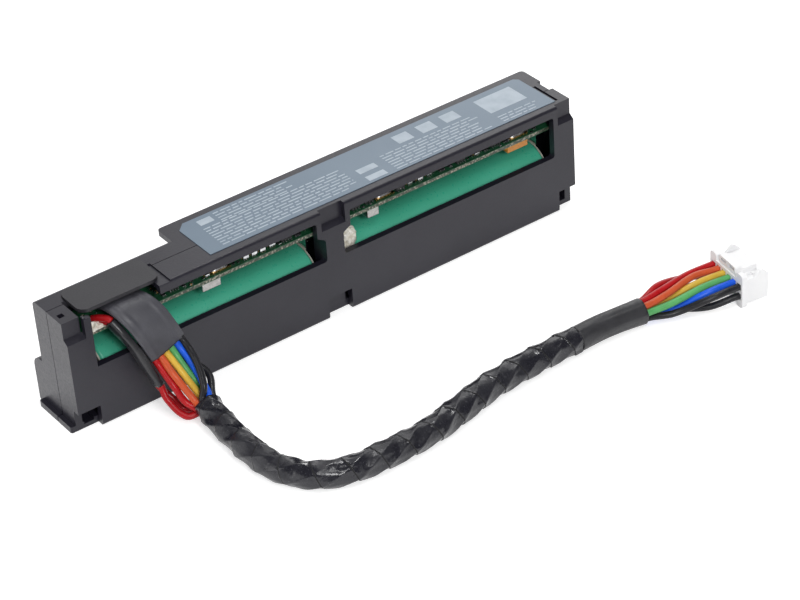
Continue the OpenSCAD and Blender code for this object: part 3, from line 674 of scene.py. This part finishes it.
shrinkTube = {
    "step": 0.0004, "around": 64, "mouth": 0.0005, "ribs": 0.00022, "ribsRound": 2.4, "tighter": 0.0001,
    "flare": 0.00012, "flareFrom": 0.86,
}


def addShrink(look):
    route = routes["shrink"]
    line, _ = smoothLine(route, startDir(route), endDir(route), look["step"])
    radius = harness["shrinkWidth"] / 2 - look["tighter"]

    def shape(along, turn):
        angle = math.tau * turn
        wide = look["ribsRound"]
        ribs = wobble(look["ribs"], along * 2, math.cos(angle) * wide, math.sin(angle) * wide)
        flare = look["flare"] * max(0.0, along - look["flareFrom"]) / (1 - look["flareFrom"])
        r = radius + ribs + flare
        return r * math.cos(angle), r * math.sin(angle)

    tube = sweepTube("shrinkTube", line, look["around"], shape, mouth=look["mouth"])
    return settle(tube, "shrink_black", looks["shrinkBlack"], "shrink_tube")


flatSleeves = {
    "step": 0.0004, "mouth": 0.0003, "wideAround": 72, "slimAround": 48, "wideRibs": 6, "slimRibs": 2,
    "ribHeight": 0.00009, "crease": 0.00016, "squareness": 0.45, "flatness": 0.8,
}


# A flat rounded section with a low rib over each wire
def flatShape(width, thick, ribs, look):
    def shape(along, turn):
        angle = math.tau * turn
        c, s = math.cos(angle), math.sin(angle)
        across = math.copysign(abs(c) ** look["squareness"], c) * width / 2
        rib = look["ribHeight"] * math.cos(math.tau * ribs * (across / width + 0.5))
        crease = wobble(look["crease"], along * 3.0, c * 1.5, s * 1.5 + 4)
        upward = math.copysign(abs(s) ** look["flatness"], s) * (thick / 2 + rib + crease)
        return across, upward
    return shape


def addSleeve(name, route, around, shape, material, node, look):
    line, _ = smoothLine(route, startDir(route), endDir(route), look["step"])
    tube = sweepTube(name, line, around, shape, (1, 0, 0), True, look["mouth"])
    return settle(tube, "sleeve_black", looks[material], node)


def addSleeves(look):
    wide = flatShape(harness["sleeveWidth"], harness["sleeveThick"], look["wideRibs"], look)
    slim = flatShape(harness["slimWidth"], harness["slimThick"], look["slimRibs"], look)

    def slimOnEdge(along, turn):
        return slim(along, turn)[::-1]

    return [
        addSleeve(
            "flatSleeve", routes["sleeve"], look["wideAround"], wide, "sleeveBlack", "flat_sleeve", look,
        ),
        addSleeve(
            "slimSleeve", routes["slim"], look["slimAround"], slimOnEdge, "slimBlack", "slim_sleeve", look,
        ),
    ]


wireRun = {"step": 0.0005, "around": 18, "width": 0.00188}


def joinPieces(name, pieces):
    bm = bmesh.new()
    for piece in pieces:
        bm.from_mesh(piece.data)
        bpy.data.objects.remove(piece)
    return finishMesh(name, bm)


# The stub and the case side of a wire are one piece, its plug side is another
def addWire(name, stretches, look):
    bySide = {"_caseSide": [], "_plugSide": []}
    for label, points, firstDir, lastDir in stretches:
        line, _ = smoothLine(points, firstDir, lastDir, look["step"])
        tube = sweepTube(name + label, line, look["around"], roundShape(look["width"] / 2))
        bySide["_plugSide" if label == "_plugSide" else "_caseSide"].append(tube)
    pieces = [joinPieces(name + side, tubes) for side, tubes in bySide.items()]
    settle(pieces[0], wireSlots[name], looks[name], name)
    settle(pieces[1], wireSlots[name], looks[name])
    return pieces


# From a sleeve or the board into its slot in the tape, the last bit straight where asked
def toTape(start, direction, middle, slot, straight=0.0):
    stop = [intoTape(slot, straight)] if straight else []
    return "_caseSide", [start, *middle, *stop, intoTape(slot)], direction, startDir(routes["tape"])


def toPlug(slot, middle, way, row):
    return "_plugSide", [fromShrink(slot), *middle, *intoPlug(way, row)], endDir(routes["shrink"]), plugAhead


def addWires(look):
    sleeveEnd = endDir(routes["sleeve"])
    slimStart, slimEnd = startDir(routes["slim"]), endDir(routes["slim"])
    slimIn = [slimWay(routes["slim"][0], slimStart, way) for way in (0, 1)]
    slimOut = [slimWay(routes["slim"][-1], slimEnd, way) for way in (0, 1)]
    plan = {
        "wire_red_1": [
            toTape(fromSleeve(0), sleeveEnd, [(0.0225, -0.0104, 0.0103), (0.0239, -0.0128, 0.0061)], 4),
            toPlug(7, [(0.145, -0.0552, 0.0064), (0.1554, -0.0542, 0.0063)], 0, 1),
        ],
        "wire_red_2": [
            ("_stub", [(0.0106, 0.0056, 0.0284), (0.0118, 0.0036, 0.0291), slimIn[1]],
             unit((0.4, -0.8, 0.3)), slimStart),
            toTape(slimOut[1], slimEnd, [(0.0208, -0.009, 0.0064), (0.0232, -0.0136, 0.0024)], 5),
            toPlug(6, [(0.1464, -0.0528, 0.0062), (0.156, -0.0524, 0.0042)], 0, 0),
        ],
        "wire_red_3": [
            ("_stub", [(0.0116, 0.0064, 0.0275), (0.0126, 0.004, 0.0276), slimIn[0]],
             unit((0.4, -0.9, 0)), slimStart),
            toTape(slimOut[0], slimEnd, [(0.0228, -0.0085, 0.0053), (0.0248, -0.0107, 0.0022)], 6),
            toPlug(5, [(0.1454, -0.0528, 0.0028), (0.1558, -0.0553, 0.0031)], 1, 0),
        ],
        "wire_orange": [
            toTape(fromSleeve(1), sleeveEnd, [(0.0232, -0.0094, 0.0134)], 3, 0.002),
            toPlug(0, [(0.145, -0.0576, 0.0064), (0.1558, -0.0562, 0.0067)], 1, 1),
        ],
        "wire_yellow": [
            toTape(fromSleeve(2), sleeveEnd, [(0.0255, -0.0096, 0.0132)], 8, 0.002),
            toPlug(8, [(0.145, -0.0568, 0.004), (0.1553, -0.0588, 0.0062)], 2, 1),
        ],
        "wire_green": [
            toTape(fromSleeve(3), sleeveEnd, [(0.0276, -0.0088, 0.012)], 7, 0.002),
            toPlug(1, [(0.1447, -0.0599, 0.0049), (0.1549, -0.0612, 0.0062)], 3, 1),
        ],
        "wire_blue": [
            toTape(fromSleeve(4), sleeveEnd, [(0.0292, -0.0086, 0.0136), (0.0294, -0.0148, 0.008)], 1),
            toPlug(3, [(0.1449, -0.0588, 0.0018), (0.1545, -0.0632, 0.0056)], 4, 1),
        ],
        "wire_black_1": [
            toTape(fromSleeve(5), sleeveEnd, [(0.0298, -0.0099, 0.0151), (0.0284, -0.0152, 0.0106)], 2),
            toPlug(2, [(0.1448, -0.0609, 0.0023), (0.154, -0.0656, 0.0054)], 5, 1),
        ],
        "wire_black_2": [
            toTape((0.022, 0.0074, 0.0275), Vector((0, -1, 0)), [
                (0.0223, 0.004, 0.0279), (0.0228, 0.0012, 0.028), (0.0236, -0.0005, 0.026),
                (0.0246, -0.0014, 0.0224), (0.026, -0.0019, 0.018), (0.0286, -0.004, 0.0134),
                (0.033, -0.0096, 0.0092),
            ], 0),
            toPlug(4, [(0.1451, -0.0566, 0.0013), (0.154, -0.0638, 0.0016)], 5, 0),
        ],
    }
    return {name: addWire(name, stretches, look) for name, stretches in plan.items()}


tape, tapeLine, tapeLength = addTape(tapeWrap)
shrink = addShrink(shrinkTube)
sleeves = addSleeves(flatSleeves)
wires = addWires(wireRun)
print("harness made: tape", round(tapeLength, 4), "m")


# Moulded parts are shown by copies with rounded edges; where a look names an edge finish, those edges carry
# a painted highlight in it
shellEdges = {
    "width": 0.00024, "material": "casePlastic", "slot": "case_plastic", "edge": "edgeShine",
    "keepSeam": True,
}
boxEdges = {"width": 0.0003, "material": "boxMetal", "slot": "plated_metal"}
roundings = {
    "front_shell": shellEdges,
    "rear_shell": shellEdges,
    "cable_cover": {
        "width": 0.00022, "material": "coverPlastic", "slot": "cover_plastic", "edge": "edgeShine",
    },
    "plug_housing": {"width": 0.00018, "material": "plugNylon", "slot": "plug_nylon", "edge": "paintedNylonEdgeHighlight"},
    "board_chips": {"width": 0.00012, "material": "chipResin", "slot": "chip_resin"},
    "amber_capacitor": {"width": 0.0003, "material": "amberResin", "slot": "amber_resin"},
    "cutoff_left": boxEdges,
    "cutoff_right": boxEdges,
}
roundRules = {
    "weld": 2e-6, "flatAngle": 0.8, "sharpAngle": 32, "shadeAngle": 48,
    "seamDepth": caseCorner.y + 0.009, "seamReach": 0.0004,
}


def isNearSeam(edge):
    return all(abs(v.co.y - roundRules["seamDepth"]) < roundRules["seamReach"] for v in edge.verts)


def isSharp(edge, look):
    if len(edge.link_faces) != 2 or edge.calc_length() <= look["width"] * 2:
        return False
    if look.get("keepSeam") and isNearSeam(edge):
        return False
    return edge.calc_face_angle(0) > math.radians(roundRules["sharpAngle"])


def mergedCopy(node):
    bm = bmesh.new()
    bm.from_mesh(cadNodes[node].data)
    bmesh.ops.remove_doubles(bm, verts=bm.verts, dist=roundRules["weld"])
    return bm


def addRounded(node, look):
    bm = mergedCopy(node)
    flat = math.radians(roundRules["flatAngle"])
    bmesh.ops.dissolve_limit(bm, angle_limit=flat, verts=bm.verts, edges=bm.edges)
    rims = bmesh.ops.bevel(
        bm, geom=[e for e in bm.edges if isSharp(e, look)], offset=look["width"], offset_type="OFFSET",
        segments=2, profile=0.5, affect="EDGES", clamp_overlap=True, material=-1,
    )["faces"]
    for face in bm.faces:
        face.smooth = True
    # The rounded edges take the look's edge finish, a lighter colour: painted highlight
    for face in rims:
        face.material_index = 1 if "edge" in look else 0
    crisp = math.radians(roundRules["shadeAngle"])
    for edge in bm.edges:
        edge.smooth = not (edge.is_manifold and edge.calc_face_angle(0) > crisp)
    piece = finishMesh(node + "_rounded", bm)
    weighted = piece.modifiers.new("weighted", "WEIGHTED_NORMAL")
    weighted.keep_sharp = True
    settle(piece, look["slot"], looks[look["material"]], node)
    if "edge" in look:
        piece.data.materials.append(looks[look["edge"]])
    return piece


rounded = {node: addRounded(node, look) for node, look in roundings.items()}
print("rounded:", {n: len(p.data.polygons) for n, p in rounded.items()})


# These CAD nodes keep their shape and get a finish
kept = {
    "rating_label": "labelFilm", "cell_left": "cellWrap", "cell_right": "cellWrap",
    "insulator_left_outer": "ringCard", "insulator_left_inner": "ringCard",
    "insulator_right_inner": "ringCard", "insulator_right_outer": "ringCard",
    "tab_left": "nickelStrip", "tab_right": "nickelStrip", "centre_link": "nickelStrip",
    "circuit_board": "boardLaminate", "board_capacitors": "capacitorBody",
    "board_resistors": "resistorBody", "oval_cans": "platedMetal", "wire_solder": "solder",
    "plug_contacts": "contactMetal",
}
for node, material in kept.items():
    mesh = cadNodes[node].data
    mesh.materials.clear()
    mesh.materials.append(looks[material])
print("CAD nodes finished:", len(kept))


# The solid parts on the board as x, y, width, depth and height, in millimetres from its front left corner
boardParts = {
    "chips": [
        (27, 1.6, 3, 2.4, 1), (32.6, 3.6, 5, 4, 1.4), (46.2, 4.4, 4, 3, 1.1), (61.5, 1.2, 3.4, 2.6, 1),
        (84, 1.2, 2.8, 2.4, 1.1), (88.6, 1.4, 2.8, 2.4, 1.1), (98.6, 1, 2.8, 2.4, 1.2),
        (110, 3.6, 6, 5, 1.2), (119, 1.2, 3, 2.4, 1), (131, 1.6, 3.4, 2.6, 1),
    ],
    "capacitors": [
        (49.4, 0.8, 1.6, 2.6, 1.4), (52, 0.8, 1.6, 2.6, 1.4), (54.6, 0.8, 1.6, 2.6, 1.4),
        (57.6, 1, 1.8, 2.4, 1.2), (102.6, 1.2, 1.4, 2, 1.2), (105.8, 1, 1.6, 2.2, 1.3),
        (109, 1.2, 1.6, 1.8, 0.9), (37.6, 0.8, 1.2, 1.8, 0.9), (125, 1, 1.6, 1.8, 0.9),
    ],
    "resistors": [
        (24.6, 0.9, 1, 1.8, 0.5), (30.8, 0.9, 1, 1.8, 0.5), (65.6, 1, 2, 1, 0.5), (113, 1, 2, 1, 0.5),
        (135, 1, 2, 1, 0.5), (116.4, 1, 1, 1.8, 0.5), (128.4, 1, 1, 1.8, 0.5),
    ],
    "cans": [(39.6, 1.2, 5.6, 3.8), (92, 1.2, 5.6, 3.8), (137.4, 1.2, 5.6, 3.8)],
}
boardLow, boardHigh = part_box("circuit_board")
solidSpots = [part[:4] for kind in ("chips", "capacitors", "resistors") for part in boardParts[kind]]


def onBoard(x, y, z):
    return Vector((
        boardLow.x + x * millimetre, boardLow.y + y * millimetre, boardHigh.z + z * millimetre,
    ))


def addBlock(bm, low, high):
    low, high = Vector(low), Vector(high)
    place = Matrix.Translation((low + high) / 2) @ Matrix.Diagonal((*(high - low), 1))
    bmesh.ops.create_cube(bm, size=1, matrix=place)


# Legs of the chips and end caps of the small solid parts, in millimetres
boardTrim = {
    "legPitch": 0.75, "legWidth": 0.28, "legReach": 0.55, "legThick": 0.14, "legFrom": 0.1,
    "legTop": 0.55, "legWall": 0.12, "edgeClear": 0.1, "capShare": 0.24, "capFat": 0.03,
    "edge": 0.00004,
}


def addLegs(bm, chip, look):
    x, y, w, d, h = chip
    half = look["legWidth"] / 2
    count = max(2, int(w / look["legPitch"]))
    rows = (
        (y - look["legReach"], y, y - look["legWall"]),
        (y + d, y + d + look["legReach"], y + d),
    )
    for k in range(count):
        middle = x + w * (k + 0.5) / count
        for near, far, wall in rows:
            if near < look["edgeClear"]:
                continue
            addBlock(bm, onBoard(middle - half, near, 0), onBoard(middle + half, far, look["legThick"]))
            addBlock(
                bm, onBoard(middle - half, wall, look["legFrom"]),
                onBoard(middle + half, wall + look["legWall"], h * look["legTop"]),
            )


def addEndCaps(bm, part, look):
    x, y, w, d, h = part
    share, fat = look["capShare"], look["capFat"]
    if d >= w:
        spans = [(x, y, w, d * share), (x, y + d * (1 - share), w, d * share)]
    else:
        spans = [(x, y, w * share, d), (x + w * (1 - share), y, w * share, d)]
    for x0, y0, dx, dy in spans:
        addBlock(bm, onBoard(x0 - fat, y0 - fat, 0), onBoard(x0 + dx + fat, y0 + dy + fat, h + fat))


def addBoardTrim(look):
    bm = bmesh.new()
    for chip in boardParts["chips"]:
        addLegs(bm, chip, look)
    for part in boardParts["capacitors"] + boardParts["resistors"]:
        addEndCaps(bm, part, look)
    bmesh.ops.bevel(
        bm, geom=list(bm.edges), offset=look["edge"], offset_type="OFFSET", segments=1, profile=0.5,
        affect="EDGES", clamp_overlap=True, material=-1,
    )
    settle(finishMesh("boardTrim", bm), "solder", looks["solder"])


boardPads = {
    "seed": 11, "tries": 90, "length": (4, 146), "rows": (0.8, 10.4), "clear": 0.7,
    "radii": (0.0002, 0.0003, 0.00045), "taper": 0.9, "thick": 0.00006, "lift": 0.01,
}


def addPads(look):
    picks = random.Random(look["seed"])
    clear = look["clear"]
    bm = bmesh.new()
    for _ in range(look["tries"]):
        x, y = picks.uniform(*look["length"]), picks.uniform(*look["rows"])
        if any(px - clear < x < px + pw + clear and py - clear < y < py + pd + clear
               for px, py, pw, pd in solidSpots):
            continue
        radius = picks.choice(look["radii"])
        bmesh.ops.create_cone(
            bm, cap_ends=True, segments=12, radius1=radius, radius2=radius * look["taper"],
            depth=look["thick"], matrix=Matrix.Translation(onBoard(x, y, look["lift"])),
        )
    settle(finishMesh("boardPads", bm), "solder", looks["solder"])


# Sizes, gaps and places in millimetres, as width, depth and height
smallParts = {
    "seed": 23, "tries": 900, "rows": (0.35, 5.6), "length": (23.5, 147), "clear": 0.35,
    "sizes": [(0.5, 1.0, 0.35), (1.0, 0.5, 0.35), (0.8, 1.5, 0.5), (1.5, 0.8, 0.5), (0.6, 0.6, 0.3)],
    "kinds": ("chipResin", "chipResin", "capacitorBody"), "capShare": 0.26, "capFat": 0.00002,
    "seatRim": 0.3, "seatHeight": 0.4,
    "slots": {
        "chipResin": "chip_resin", "capacitorBody": "capacitor_body", "solder": "solder",
        "contactMetal": "plated_metal",
    },
}


# The many small parts along the front of the board, and the gold seats under the oval cans
def addSmallParts(look):
    picks = random.Random(look["seed"])
    taken = solidSpots + boardParts["cans"]
    clear, fat = look["clear"], look["capFat"]
    bodies = {name: bmesh.new() for name in look["slots"]}
    for _ in range(look["tries"]):
        w, d, h = picks.choice(look["sizes"])
        x, y = picks.uniform(*look["length"]), picks.uniform(*look["rows"])
        if any(x < px + pw + clear and px < x + w + clear and y < py + pd + clear and py < y + d + clear
               for px, py, pw, pd in taken):
            continue
        taken.append((x, y, w, d))
        body = bodies[picks.choice(look["kinds"])]
        corner = onBoard(x, y, 0)
        size = Vector((w, d, h)) * millimetre
        addBlock(body, corner, corner + size)
        long = 0 if w > d else 1
        tip = size.copy()
        tip[long] *= look["capShare"]
        for side in (0, 1):
            start = corner.copy()
            start[long] += side * (size[long] - tip[long])
            addBlock(bodies["solder"], start - Vector((fat, fat, 0)), start + tip + Vector((fat,) * 3))
    rim = look["seatRim"]
    for x, y, w, d in boardParts["cans"]:
        seat = onBoard(x - rim, y - rim, 0)
        size = Vector((w + 2 * rim, d + 2 * rim, look["seatHeight"])) * millimetre
        addBlock(bodies["contactMetal"], seat, seat + size)
    for name, bm in bodies.items():
        settle(finishMesh("smallParts_" + name, bm), look["slots"][name], looks[name])


addBoardTrim(boardTrim)
addPads(boardPads)
addSmallParts(smallParts)
print("board trim made")


# Beads of silicone, folded by noise: grow and shift are about the bead's own middle
lumps = {
    "silicone_bead_left": {
        "cuts": 3, "height": 0.0007, "scale": 1100, "sink": 0.12, "grow": (1.9, 1.25, 1.1),
        "shift": (0.0013, -0.0002, -0.0001),
    },
    "silicone_bead_middle": {
        "cuts": 2, "height": 0.0007, "scale": 900, "sink": 0.18, "grow": (1, 1, 1), "shift": (0, 0, 0),
    },
}


def addLump(node, look):
    bm = mergedCopy(node)
    bmesh.ops.subdivide_edges(bm, edges=list(bm.edges), cuts=look["cuts"], use_grid_fill=True)
    bmesh.ops.triangulate(bm, faces=[f for f in bm.faces if len(f.verts) > 4])
    low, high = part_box(node)
    middle = (low + high) / 2
    bm.normal_update()
    for v in bm.verts:
        place = v.co * look["scale"]
        fold = 0.5 - abs(noise.noise(place)) * 2 + wobble(0.4, *(place * 2.3))
        away = (v.co - middle) * Vector(look["grow"])
        v.co = middle + Vector(look["shift"]) + away + v.normal * (fold - look["sink"]) * look["height"]
    bmesh.ops.smooth_vert(bm, verts=bm.verts, factor=0.4, use_axis_x=True, use_axis_y=True, use_axis_z=True)
    for face in bm.faces:
        face.smooth = True
    settle(finishMesh(node + "_lump", bm), "silicone", looks["silicone"], node)


for node, look in lumps.items():
    addLump(node, look)
print("silicone made")


# Plain bars and fields on the label, in millimetres from the corner of the case
labelPrint = {
    "seed": 5, "rowPitch": 1.3, "barHeight": 0.42, "barWidth": (1.2, 4.2), "barGap": 0.6, "ragged": 5,
    "thick": 0.02, "sink": 0.01,
    "fields": [
        (50.5, 15.6, 4.2, 2.6), (96, 3.8, 6, 2.4), (96, 8.2, 6, 2.4), (113, 13.6, 5, 4.2),
        (121, 13.6, 5, 4.2), (129, 13.6, 5, 4.2), (141, 9.4, 12.5, 8.2),
    ],
    "columns": [(56, 80, 14.4, 18.6), (50, 93, 4.4, 13.6), (105, 137, 3.8, 11.8), (141, 154, 3.8, 7.6)],
}


def addLabelPrint(look):
    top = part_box("rating_label")[1].z
    picks = random.Random(look["seed"])
    bm = bmesh.new()

    def bar(x, y, w, h):
        under = top - look["sink"] * millimetre
        corner = (caseCorner.x + x * millimetre, caseCorner.y + y * millimetre, under)
        far = (corner[0] + w * millimetre, corner[1] + h * millimetre, top + look["thick"] * millimetre)
        addBlock(bm, corner, far)

    for field in look["fields"]:
        bar(*field)
    for x0, x1, y0, y1 in look["columns"]:
        y = y0
        while y < y1:
            x = x0
            stop = x1 - picks.uniform(0, look["ragged"])
            while x < stop:
                width = picks.uniform(*look["barWidth"])
                bar(x, y, min(width, x1 - x), look["barHeight"])
                x += width + look["barGap"]
            y += look["rowPitch"]
    settle(finishMesh("labelPrint", bm), "label_film", looks["labelInk"])


addLabelPrint(labelPrint)
print("label print made")


onCord = [shrink, *sleeves, rounded["plug_housing"], cadNodes["plug_contacts"]]
for name in wires:
    onCord += wires[name]
print("cord declared with", len(onCord), "pieces")


# Reflections see white towards whiteSide and a darker room elsewhere
studio = {
    "floorColor": (0.80, 0.80, 0.80), "floorRough": 0.9, "floorGlow": 0.55, "floorSize": 4,
    "floorDrop": 0.00005, "floorSteps": 8,
    "worldLight": 0.36, "worldSeen": 1.0, "darkSide": 0.15, "whiteSide": (0.35, 0.80, -0.45),
    "darkUntil": -0.3, "whiteFrom": 0.45,
    "lamps": {
        "leftBox": {"place": (-0.80, 0.05, 0.38), "size": 0.6, "power": 2.3},
        "overheadKey": {"place": (0.22, 0.12, 0.85), "size": 0.15, "power": 2.0},
        "backBox": {"place": (0.80, 0.70, 0.55), "size": 0.7, "power": 2.4},
        "frontFill": {"place": (-0.22, -0.82, 0.55), "size": 0.22, "power": 3.9},
        "frontTop": {"place": (-0.12, -0.45, 0.85), "size": 0.22, "power": 1.3},
    },
}


def addFloor(look):
    bm = bmesh.new()
    bmesh.ops.create_grid(
        bm, x_segments=look["floorSteps"], y_segments=look["floorSteps"], size=look["floorSize"],
    )
    bmesh.ops.translate(bm, verts=bm.verts, vec=(0, 0, -look["floorDrop"]))
    floor = finishMesh("studioFloor", bm)
    material, tree, shader, coordinates = newMaterial("studioFloorPaint")
    path = tree.nodes.new("ShaderNodeLightPath").outputs
    seen = calc(tree, "MAXIMUM", path["Is Camera Ray"], path["Is Glossy Ray"])
    seen = calc(tree, "MAXIMUM", seen, path["Is Transmission Ray"])
    setInputs(tree, shader, {
        "Base Color": shade(look["floorColor"]), "Roughness": look["floorRough"],
        "Specular IOR Level": 0, "Emission Color": (1, 1, 1, 1),
        "Emission Strength": calc(tree, "MULTIPLY", seen, look["floorGlow"]),
    })
    floor.data.materials.append(material)


def addWorld(look):
    world = bpy.data.worlds.new("studioWorld")
    world.use_nodes = True
    scene.world = world
    tree = world.node_tree
    path = tree.nodes.new("ShaderNodeLightPath").outputs
    direction = tree.nodes.new("ShaderNodeTexCoord").outputs["Generated"]
    inputs = {0: direction, 1: look["whiteSide"]}
    toward = addNode(tree, "ShaderNodeVectorMath", inputs, operation="DOT_PRODUCT").outputs["Value"]
    room = spread(tree, toward, look["darkUntil"], look["whiteFrom"], look["darkSide"], look["worldSeen"])
    mirrored = calc(tree, "MAXIMUM", path["Is Glossy Ray"], path["Is Transmission Ray"])
    strength = mixValues(tree, mirrored, look["worldLight"], room)
    strength = mixValues(tree, path["Is Camera Ray"], strength, look["worldSeen"])
    setInputs(tree, tree.nodes["Background"], {"Color": (1, 1, 1, 1), "Strength": strength})


def addLamp(name, lamp):
    data = bpy.data.lights.new(name, "AREA")
    data.shape, data.size, data.energy = "SQUARE", lamp["size"], lamp["power"]
    light = bpy.data.objects.new(name, data)
    place = Vector(lamp["place"])
    light.location = place
    light.rotation_euler = (-place).to_track_quat("-Z", "Y").to_euler()
    scene.collection.objects.link(light)


addFloor(studio)
addWorld(studio)
for name, lamp in studio["lamps"].items():
    addLamp(name, lamp)
print("stage lit")
